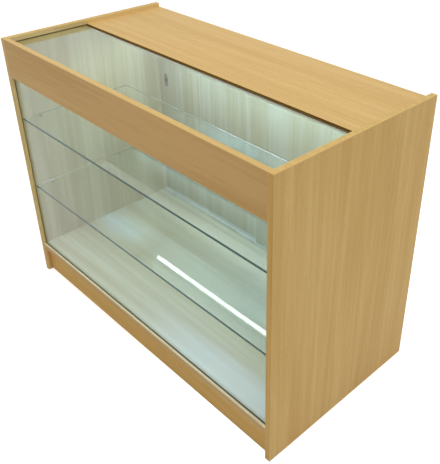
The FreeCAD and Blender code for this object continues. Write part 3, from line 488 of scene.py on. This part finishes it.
def level_boards():
    white = (WHITE_LIT_BEECH_DEEP, WHITE_LIT_BEECH)
    red = (RED_BEECH_DEEP, RED_BEECH)
    plinth = (PLINTH_BEECH_DEEP, PLINTH_BEECH)
    fascia = beech("front_fascia", X, Y, 3, fascia_inside, outer=red, pale=white)
    dress(fascia, "front_fascia")
    base = beech("base_board", X, Z, 4, base_inside, base_lip, pale=white,
                 core=(LIT_WHITE_CORE_DARK, LIT_WHITE_CORE), edge=(BASE_BAND, BASE_BAND_DEEP),
                 lit_lip_colour=LIT_CREAM_LIP, painted_light=base_painted_light)
    dress(base, "base_board")
    for seed, name in enumerate(("front_plinth", "rear_plinth"), start=5):
        dress(beech(name, X, Y, seed, outer=plinth, gloss=PLINTH_GLOSS), name)
    top = beech("top_board", X, Z, 7, top_inside, pale=white, core=(PALE_LIT_BEECH_DEEP, PALE_LIT_BEECH))
    dress(top, "top_board")


def doors():
    for seed, name in enumerate(("left_door", "right_door"), start=8):
        dress(beech(name, Z, Y, seed, door_inside), name)


def dowels():
    dress(beech("wood_dowels", X, X, 11), "wood_dowels")


# Glass

GLASS_TINT = (0.965, 0.99, 0.985, 1)
TOP_TINT = (0.915, 0.915, 0.86, 1)
SHELF_EDGE = (0.02, 0.055, 0.045, 1)
# Pale edge tints of the top and front glass, lighter than float glass's green: painted light that lifts
# the shade of their grooves.
PANE_EDGE = (0.55, 0.60, 0.48, 1)
FOOT_EDGE = (0.92, 0.95, 0.90, 1)
OUTER_SHADE = (0.80, 0.81, 0.80, 1)
SHELF_SHADE = (0.96, 0.97, 0.97, 1)
FRONT_GLASS_IOR = 1.18
TOP_GLASS_IOR = 1.24
LOWER_SHELF_IOR = 1.5
UPPER_SHELF_IOR = 1.36
PANE_FACE = (0.55, 0.8)
MARK_SCALE = (9, 9, 9)
MARK_RANGE = (0.45, 0.75)
MARK_ROUGHNESS = 0.03
RIPPLE_SCALE = (3, 3, 3)
RIPPLE_DEPTH = 0.02 * MM
RIPPLE_BUMP = 0.3

# Film of dust with a painted bluish sheen: colour, patchiness, share of the glass it covers, and where
# it lies.
DUST_AND_SHEEN = (0.42, 0.82, 1.0, 1)
DUST_AND_SHEEN_PATCHES = (0.7, 1.3)
UPPER_DUST_AND_SHEEN = 0.04
UPPER_DUST_AND_SHEEN_BACKWARD = (-0.02, 0.09)
UPPER_DUST_AND_SHEEN_START = (-0.20, 0.05)
UPPER_DUST_AND_SHEEN_END = (0.10, 0.25)
UPPER_DUST_AND_SHEEN_RIGHT_SHARE = 0.3
LOWER_DUST_AND_SHEEN = 0.055
LOWER_DUST_AND_SHEEN_RIGHTWARD = (0.0, 0.45)

# Ground edges of the shelves: dark and light tones.
FRONT_EDGE_TONES = ((0.010, 0.064, 0.040, 1), (0.020, 0.096, 0.060, 1))
REAR_EDGE_TONES = ((0.20, 0.30, 0.27, 1), (0.30, 0.42, 0.39, 1))
GRIT_SCALE = (40, 900, 900)
GRIT_DEPTH = 0.03 * MM
GRIT_BUMP = 0.5


def pane(name, thin, ior, shade, edge, tint=GLASS_TINT, dust_and_sheen=None):
    """Float glass: clear across, greenish at the edges, with faint wiping marks.

    dust gives the share of its upper face that a thin film of dust covers, tinted blue for a painted
    sheen.
    """
    graph = Graph(f"float_glass_{name}")
    on_edge = graph.across(thin, *PANE_FACE, 1, 0)
    marks = graph.noise(MARK_SCALE, detail=4, roughness=0.65, distortion=1.2)
    ripple = graph.noise(RIPPLE_SCALE, detail=1)
    face = graph.principled({
        "Base Color": graph.mix(on_edge, tint, edge),
        "Roughness": graph.step(marks, *MARK_RANGE, 0.0, MARK_ROUGHNESS),
        "IOR": ior,
        "Transmission Weight": 1.0,
        "Normal": graph.bump(ripple, RIPPLE_DEPTH, RIPPLE_BUMP),
    })
    if dust_and_sheen is not None:
        dust_sheen_film = graph.add("BsdfDiffuse", {"Color": DUST_AND_SHEEN})
        cover = graph.product(dust_and_sheen(graph), graph.step(marks, *SOFT, *DUST_AND_SHEEN_PATCHES))
        face = graph.mix_shaders(cover, face, dust_sheen_film)
    clear = graph.add("BsdfTransparent", {"Color": shade})
    path = graph.add("LightPath").outputs
    passing = graph.math("MAXIMUM", path["Is Shadow Ray"], path["Is Diffuse Ray"])
    return graph.finish(graph.mix_shaders(passing, face, clear))


def upper_dust_and_sheen(graph):
    """Film of dust and painted sheen on the back of the upper shelf, most in its middle."""
    back = graph.step(graph.axes()[Y], *UPPER_DUST_AND_SHEEN_BACKWARD, 0, UPPER_DUST_AND_SHEEN)
    along = graph.axes()[X]
    start = graph.step(along, *UPPER_DUST_AND_SHEEN_START)
    end = graph.step(along, *UPPER_DUST_AND_SHEEN_END, 1, UPPER_DUST_AND_SHEEN_RIGHT_SHARE)
    return graph.product(graph.facing(Z, UP), back, start, end)


def lower_dust_and_sheen(graph):
    """Film of dust and painted sheen on the right of the lower shelf."""
    right = graph.step(graph.axes()[X], *LOWER_DUST_AND_SHEEN_RIGHTWARD, 0, LOWER_DUST_AND_SHEEN)
    return graph.product(graph.facing(Z, UP), right)


def rounded_run(name, outline, start, end):
    """Closed strip along X with the outline's points as y and z."""
    count = len(outline)
    points = [(x, y, z) for x in (start, end) for y, z in outline]
    sides = [(i, (i + 1) % count, (i + 1) % count + count, i + count) for i in range(count)]
    caps = [tuple(reversed(range(count))), tuple(range(count, 2 * count))]
    mesh = bpy.data.meshes.new(name)
    mesh.from_pydata(points, [], sides + caps)
    form = bmesh.new()
    form.from_mesh(mesh)
    bmesh.ops.triangulate(form, faces=[face for face in form.faces if len(face.verts) > 4])
    bmesh.ops.recalc_face_normals(form, faces=form.faces)
    form.to_mesh(mesh)
    form.free()
    item = bpy.data.objects.new(name, mesh)
    SCENE.collection.objects.link(item)
    return item


def ground_glass(name, tones):
    """Glass edge dulled by grinding."""
    graph = Graph(name)
    grit = graph.noise(GRIT_SCALE, detail=3)
    shader = graph.principled({
        "Base Color": graph.mix(graph.step(grit, *SOFT), *tones),
        "Roughness": graph.step(grit, *SOFT, 0.45, 0.6),
        "Specular IOR Level": 0.12,
        "Normal": graph.bump(grit, GRIT_DEPTH, GRIT_BUMP),
    })
    return graph.finish(shader)


def shelf_edge(shelf, side, tones):
    """Ground edge of a shelf with its seamed arrises, a thin skin round the sheet's edge."""
    low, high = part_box(shelf)
    skin = 0.25 * MM
    gap = 0.02 * MM
    arris = 0.9 * MM
    crown = 0.35 * MM
    inset = 0.5 * MM
    steps = 6
    middle = (low.z + high.z) / 2
    rise = (high.z - low.z) / 2 + skin
    outline = [(arris, high.z + gap), (-gap, high.z + gap), (-gap, low.z - gap), (arris, low.z - gap)]
    outline.append((arris, low.z - skin))
    for index in range(steps + 1):
        turn = math.pi * index / steps
        outline.append((-skin - math.sin(turn) * crown, middle - rise * math.cos(turn)))
    outline.append((arris, high.z + skin))
    if side == "front":
        outline = [(low.y + depth, z) for depth, z in outline]
    else:
        outline = [(high.y - depth, z) for depth, z in outline]
    item = rounded_run(f"{shelf}_{side}_edge", outline, low.x + inset, high.x - inset)
    item.data.materials.append(ground_glass(f"{side}_edge_{shelf}", tones))
    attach(item, "carcass")


def panes():
    dress(pane("front_glass", Y, FRONT_GLASS_IOR, OUTER_SHADE, FOOT_EDGE), "front_glass")
    dress(pane("top_glass", Z, TOP_GLASS_IOR, OUTER_SHADE, PANE_EDGE, TOP_TINT), "top_glass")
    shelves = (
        ("lower_glass_shelf", LOWER_SHELF_IOR, lower_dust_and_sheen),
        ("upper_glass_shelf", UPPER_SHELF_IOR, upper_dust_and_sheen),
    )
    for name, ior, dust_and_sheen in shelves:
        dress(pane(name, Z, ior, SHELF_SHADE, SHELF_EDGE, dust_and_sheen=dust_and_sheen), name)
        shelf_edge(name, "front", FRONT_EDGE_TONES)
        shelf_edge(name, "rear", REAR_EDGE_TONES)


# Plastic, rubber and metal

FOOT_STRIP_COLOUR = srgb(62, 62, 42)
FOOT_STRIP_ROUGHNESS = 0.75
EDGING_BROWN = (srgb(128, 90, 4), srgb(148, 106, 14))
# Pale tones of the edging below the glass: painted light in place of the shade there.
EDGING_LIT_PALE = (srgb(246, 244, 228), srgb(250, 249, 238))
EDGING_SCALE = (60, 900, 900)
# Heights between which the edging turns from the pale strip of painted light below the glass to the
# brown one above.
EDGING_SPLIT = (0.874, 0.875)
PULL_COLOUR = srgb(122, 116, 88)
PULL_DARK_MIDDLE = srgb(46, 44, 32)
DIFFUSER_COLOUR = srgb(244, 244, 240)

# Name, colour, roughness and CAD nodes of each plain plastic.
PLASTICS = (
    ("gasket", srgb(128, 106, 60), 0.7, ("top_glass_left_gasket", "top_glass_right_gasket")),
    ("sleeve", srgb(168, 168, 156), 0.6, ("shelf_peg_sleeves",)),
    ("glide", srgb(222, 220, 208), 0.5, ("left_door_glides", "right_door_glides")),
    ("track", srgb(218, 220, 212), 0.42, ("door_bottom_track", "door_top_track")),
    ("lamp_shell", srgb(228, 229, 226), 0.35, ("lamp_housing",)),
    ("lamp_ends", srgb(226, 227, 222), 0.3, ("lamp_left_cap", "lamp_switch_block")),
    ("led_strip", srgb(228, 226, 206), 0.4, ("lamp_led_board",)),
    ("switch", srgb(38, 38, 38), 0.3, ("lamp_switch",)),
)

# Name, colour, roughness, axis of the drawn lines and CAD nodes of each metal.
METALS = (
    ("peg", (0.26, 0.27, 0.28, 1), 0.5, X, ("shelf_pegs",)),
    ("pin", (0.74, 0.55, 0.25, 1), 0.3, X, ("lamp_inlet_pins",)),
    ("clip", (0.6, 0.6, 0.6, 1), 0.3, X, ("lamp_clips",)),
    ("screw", (0.62, 0.62, 0.60, 1), 0.32, Z, ("lamp_clip_screws", "cam_bolts")),
    ("cam", (0.45, 0.45, 0.46, 1), 0.5, Z, ("cam_discs",)),
)

SKIN_SCALE = (900, 900, 900)
SKIN_DEPTH = 0.03 * MM
SKIN_BUMP = 0.5
CLOUD_SCALE = (25, 25, 25)
FROST_SCALE = (700, 700, 700)
FINE_DEPTH = 0.02 * MM
FINE_BUMP = 0.4


def plastic(name, colour, roughness):
    """Moulded plastic with a fine skin and slightly uneven colour."""
    graph = Graph(f"plastic_{name}")
    skin = graph.noise(SKIN_SCALE)
    cloud = graph.noise(CLOUD_SCALE, detail=3)
    shade = graph.mix(graph.step(cloud, *MIDDLE), dimmed(colour, 0.86), colour)
    rough = graph.math("ADD", graph.math("MULTIPLY", skin, 0.15), roughness - 0.07)
    shader = graph.principled({
        "Base Color": shade,
        "Roughness": rough,
        "Normal": graph.bump(skin, SKIN_DEPTH, SKIN_BUMP),
    })
    return graph.finish(shader)


def glass_foot_strip():
    """Soft dark strip at the foot of the front glass, rounded at its front."""
    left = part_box("left_end_panel")[1].x
    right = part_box("right_end_panel")[0].x
    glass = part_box("front_glass")[0].y
    gap = 0.05 * MM
    inset = 0.3 * MM
    depth = 1.3 * MM
    height = 3.2 * MM
    top_depth = 0.3
    shoulder = 0.6
    steps = 6
    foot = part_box("base_board")[1].z + gap
    outline = [(glass - gap, foot), (glass - gap, foot + height)]
    for index in range(steps + 1):
        turn = math.pi / 2 * index / steps
        forward = top_depth + (1 - top_depth) * math.sin(turn)
        rise = shoulder + (1 - shoulder) * math.cos(turn)
        outline.append((glass - depth * forward, foot + height * rise))
    outline.append((glass - depth, foot))
    item = rounded_run("front_glass_foot_strip", outline, left + inset, right - inset)
    item.data.materials.append(plastic("foot_strip", FOOT_STRIP_COLOUR, FOOT_STRIP_ROUGHNESS))
    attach(item, "carcass")


def edging():
    """Edging strips: dark brown above the glass, and pale below it, where light is painted in place of
    the shade under the glass.
    """
    graph = Graph("plastic_edging")
    skin = graph.noise(EDGING_SCALE)
    below = graph.step(graph.axes()[Z], *EDGING_SPLIT, 1, 0)
    dark = graph.mix(skin, *EDGING_BROWN)
    pale = graph.mix(skin, *EDGING_LIT_PALE)
    shader = graph.principled({
        "Base Color": graph.mix(below, dark, pale),
        "Roughness": graph.step(skin, *SOFT, 0.4, 0.55),
        "Specular IOR Level": 0.1,
        "Normal": graph.bump(skin, SKIN_DEPTH, SKIN_BUMP),
    })
    return graph.finish(shader)


def finger_pull(name):
    """Moulded cup, darker in the middle."""
    graph = Graph(f"plastic_{name}")
    low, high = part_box(name)
    dark_to = 5 * MM
    pale_from = 14 * MM
    unevenness = 8 * MM
    skin = graph.noise(SKIN_SCALE)
    cloud = graph.noise((90, 90, 90), detail=3)
    from_middle = graph.math("SUBTRACT", graph.axes()[Z], (low.z + high.z) / 2)
    from_middle = graph.math("ABSOLUTE", from_middle)
    uneven = graph.math("ADD", from_middle, graph.math("MULTIPLY", cloud, unevenness))
    dark_middle = graph.step(uneven, dark_to, pale_from, 1, 0)
    shader = graph.principled({
        "Base Color": graph.mix(dark_middle, PULL_COLOUR, PULL_DARK_MIDDLE),
        "Roughness": graph.step(skin, *SOFT, 0.5, 0.62),
        "Specular IOR Level": 0.3,
        "Normal": graph.bump(skin, SKIN_DEPTH, SKIN_BUMP),
    })
    return graph.finish(shader)


def metal(name, colour, roughness, along):
    """Metal with fine drawn lines along one axis."""
    graph = Graph(f"metal_{name}")
    scale = [900, 900, 900]
    scale[along] = 25
    lines = graph.noise(tuple(scale), detail=3)
    shader = graph.principled({
        "Base Color": graph.mix(graph.step(lines, *SOFT), dimmed(colour, 0.7), colour),
        "Metallic": 1.0,
        "Roughness": graph.step(lines, *SOFT, roughness + 0.1, roughness),
        "Normal": graph.bump(lines, FINE_DEPTH, FINE_BUMP),
    })
    return graph.finish(shader)


def frosted_lamp():
    """Lit diffuser, bright over the row of chips at its front and dim behind."""
    graph = Graph("lamp_frosted")
    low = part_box("lamp_diffuser")[0]
    blur = MM
    width_end = low.y + LAMP_LIT_WIDTH
    rise_end = low.z + LAMP_LIT_RISE
    dark_end = low.x + LAMP_DARK_END
    grain = graph.noise(FROST_SCALE)
    x, y, z = graph.axes()
    row = graph.step(y, width_end - blur, width_end + blur, 1, 0)
    wall = graph.step(z, rise_end - blur, rise_end + blur, 1, 0)
    after_end = graph.step(x, dark_end, dark_end + 2 * blur)
    lit = graph.product(row, wall, after_end)
    shader = graph.principled({
        "Base Color": DIFFUSER_COLOUR,
        "Roughness": graph.step(grain, *SOFT, 0.45, 0.65),
        "Normal": graph.bump(grain, FINE_DEPTH, FINE_BUMP),
        "Emission Color": LAMP_GLOW_COLOUR,
        "Emission Strength": graph.blend_values(lit, LAMP_DIM_GLOW, LAMP_GLOW),
    })
    graph.material.cycles.emission_sampling = "NONE"
    return graph.finish(shader)


def fittings():
    glass_foot_strip()
    dress(edging(), "top_board_edging")
    dress(frosted_lamp(), "lamp_diffuser")
    for name in ("left_door_pull", "right_door_pull"):
        dress(finger_pull(name), name)
    for name, colour, roughness, nodes in PLASTICS:
        dress(plastic(name, colour, roughness), *nodes)
    for name, colour, roughness, along, nodes in METALS:
        dress(metal(name, colour, roughness, along), *nodes)


# Stage, light and camera

def only_seen(graph):
    """1 for rays from the camera, mirrors and glass, 0 for rays that carry light."""
    path = graph.add("LightPath").outputs
    first = graph.math("MAXIMUM", path["Is Camera Ray"], path["Is Glossy Ray"])
    return graph.math("MAXIMUM", first, path["Is Transmission Ray"])


def patch_distance(graph, middle, half):
    """Square of the distance from a patch's middle, 1 at its rim."""
    parts = []
    for axis in (X, Y):
        offset = graph.math("SUBTRACT", graph.axes()[axis], middle[axis])
        part = graph.math("DIVIDE", offset, half[axis])
        parts.append(graph.math("MULTIPLY", part, part))
    return graph.math("ADD", *parts)


def floor_finish():
    """Pale speckled floor that keeps shadows and looks white where it is seen."""
    graph = Graph("pale_floor")
    speckle = graph.noise((60, 60, 60))
    tone = graph.mix(speckle, srgb(240, 240, 240), srgb(248, 248, 248))
    matt = graph.add("BsdfDiffuse", {"Color": tone})
    bright = (FLOOR_GLOW, FLOOR_GLOW, FLOOR_GLOW, 1)
    for middle, half, colour in FLOOR_PATCHES:
        inside = graph.step(patch_distance(graph, middle, half), 0, 1, 1, 0)
        bright = graph.mix(inside, bright, colour + (1,))
    glow = graph.add("Emission", {"Color": bright, "Strength": only_seen(graph)})
    return graph.finish(graph.add("AddShader", {0: matt.outputs[0], 1: glow.outputs[0]}))


def floor():
    near, far = -FLOOR_REACH, FLOOR_REACH
    mesh = bpy.data.meshes.new("floor")
    corners = [(near, near, 0), (far, near, 0), (far, far, 0), (near, far, 0)]
    mesh.from_pydata(corners, [], [(0, 1, 2, 3)])
    item = bpy.data.objects.new("floor", mesh)
    SCENE.collection.objects.link(item)
    mesh.materials.append(floor_finish())


def sky():
    """Even light from all round, white where it is seen."""
    world = bpy.data.worlds.new("studio")
    SCENE.world = world
    world.use_nodes = True
    tree = world.node_tree
    path = tree.nodes.new("ShaderNodeLightPath").outputs
    seen = tree.nodes.new("ShaderNodeMath")
    seen.operation = "MAXIMUM"
    tree.links.new(path["Is Camera Ray"], seen.inputs[0])
    tree.links.new(path["Is Glossy Ray"], seen.inputs[1])
    through = tree.nodes.new("ShaderNodeMath")
    through.operation = "MAXIMUM"
    tree.links.new(seen.outputs[0], through.inputs[0])
    tree.links.new(path["Is Transmission Ray"], through.inputs[1])
    strength = tree.nodes.new("ShaderNodeMapRange")
    strength.inputs["To Min"].default_value = SKY_STRENGTH
    strength.inputs["To Max"].default_value = 1.0
    tree.links.new(through.outputs[0], strength.inputs["Value"])
    background = tree.nodes["Background"]
    background.inputs["Color"].default_value = (1, 1, 1, 1)
    tree.links.new(strength.outputs["Result"], background.inputs["Strength"])


def area_light(name, watts, size, place):
    """Round soft light that shines at the counter."""
    data = bpy.data.lights.new(name, "AREA")
    data.shape = "DISK"
    data.size = size
    data.energy = watts
    item = bpy.data.objects.new(name, data)
    item.location = place
    aim = Vector(LIGHT_TARGET) - Vector(place)
    item.rotation_euler = aim.to_track_quat("-Z", "Y").to_euler()
    SCENE.collection.objects.link(item)


def lamp_light():
    """Light of the counter's own lamp: strips along the diffuser, each with its own tilt."""
    low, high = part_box("lamp_diffuser")
    middle = (low + high) / 2
    reach = (high.y - low.y) * LAMP_STRIP_OFFSET
    for tilt, share, colour in LAMP_STRIPS:
        name = f"lamp_strip_{tilt}"
        turn = math.radians(tilt)
        data = bpy.data.lights.new(name, "AREA")
        data.shape = "RECTANGLE"
        data.size = high.x - low.x
        data.size_y = LAMP_LIT_WIDTH
        data.energy = LAMP_WATTS * share
        data.color = colour
        item = bpy.data.objects.new(name, data)
        item.location = (middle.x, middle.y + math.sin(turn) * reach, low.z - MM)
        item.rotation_euler = (turn, 0, 0)
        item.visible_glossy = False
        item.visible_transmission = False
        item.visible_camera = False
        SCENE.collection.objects.link(item)


def lights():
    area_light("top_light", TOP_LIGHT_WATTS, TOP_LIGHT_SIZE, TOP_LIGHT_PLACE)
    area_light("side_light", SIDE_LIGHT_WATTS, SIDE_LIGHT_SIZE, SIDE_LIGHT_PLACE)
    lamp_light()


def camera():
    data = bpy.data.cameras.new("camera")
    data.sensor_fit = "VERTICAL"
    data.sensor_height = SENSOR_MM
    data.lens = FOCAL_PIXELS * SENSOR_MM / PICTURE_HEIGHT
    data.shift_x = (PICTURE_WIDTH / 2 - CENTRE_PIXEL[0]) / PICTURE_HEIGHT
    data.shift_y = (CENTRE_PIXEL[1] - PICTURE_HEIGHT / 2) / PICTURE_HEIGHT
    data.clip_start = CAMERA_NEAR
    item = bpy.data.objects.new("camera", data)
    heading = Matrix.Rotation(math.radians(CAMERA_AZIMUTH), 4, "Z")
    pitch = Matrix.Rotation(math.radians(90 - CAMERA_ELEVATION), 4, "X")
    roll = Matrix.Rotation(math.radians(CAMERA_ROLL), 4, "Z")
    item.matrix_world = Matrix.Translation(CAMERA_PLACE) @ heading @ pitch @ roll
    SCENE.collection.objects.link(item)
    SCENE.camera = item


end_panels()
level_boards()
doors()
dowels()
panes()
fittings()
floor()
sky()
lights()
camera()
SCENE.view_settings.view_transform = "Standard"
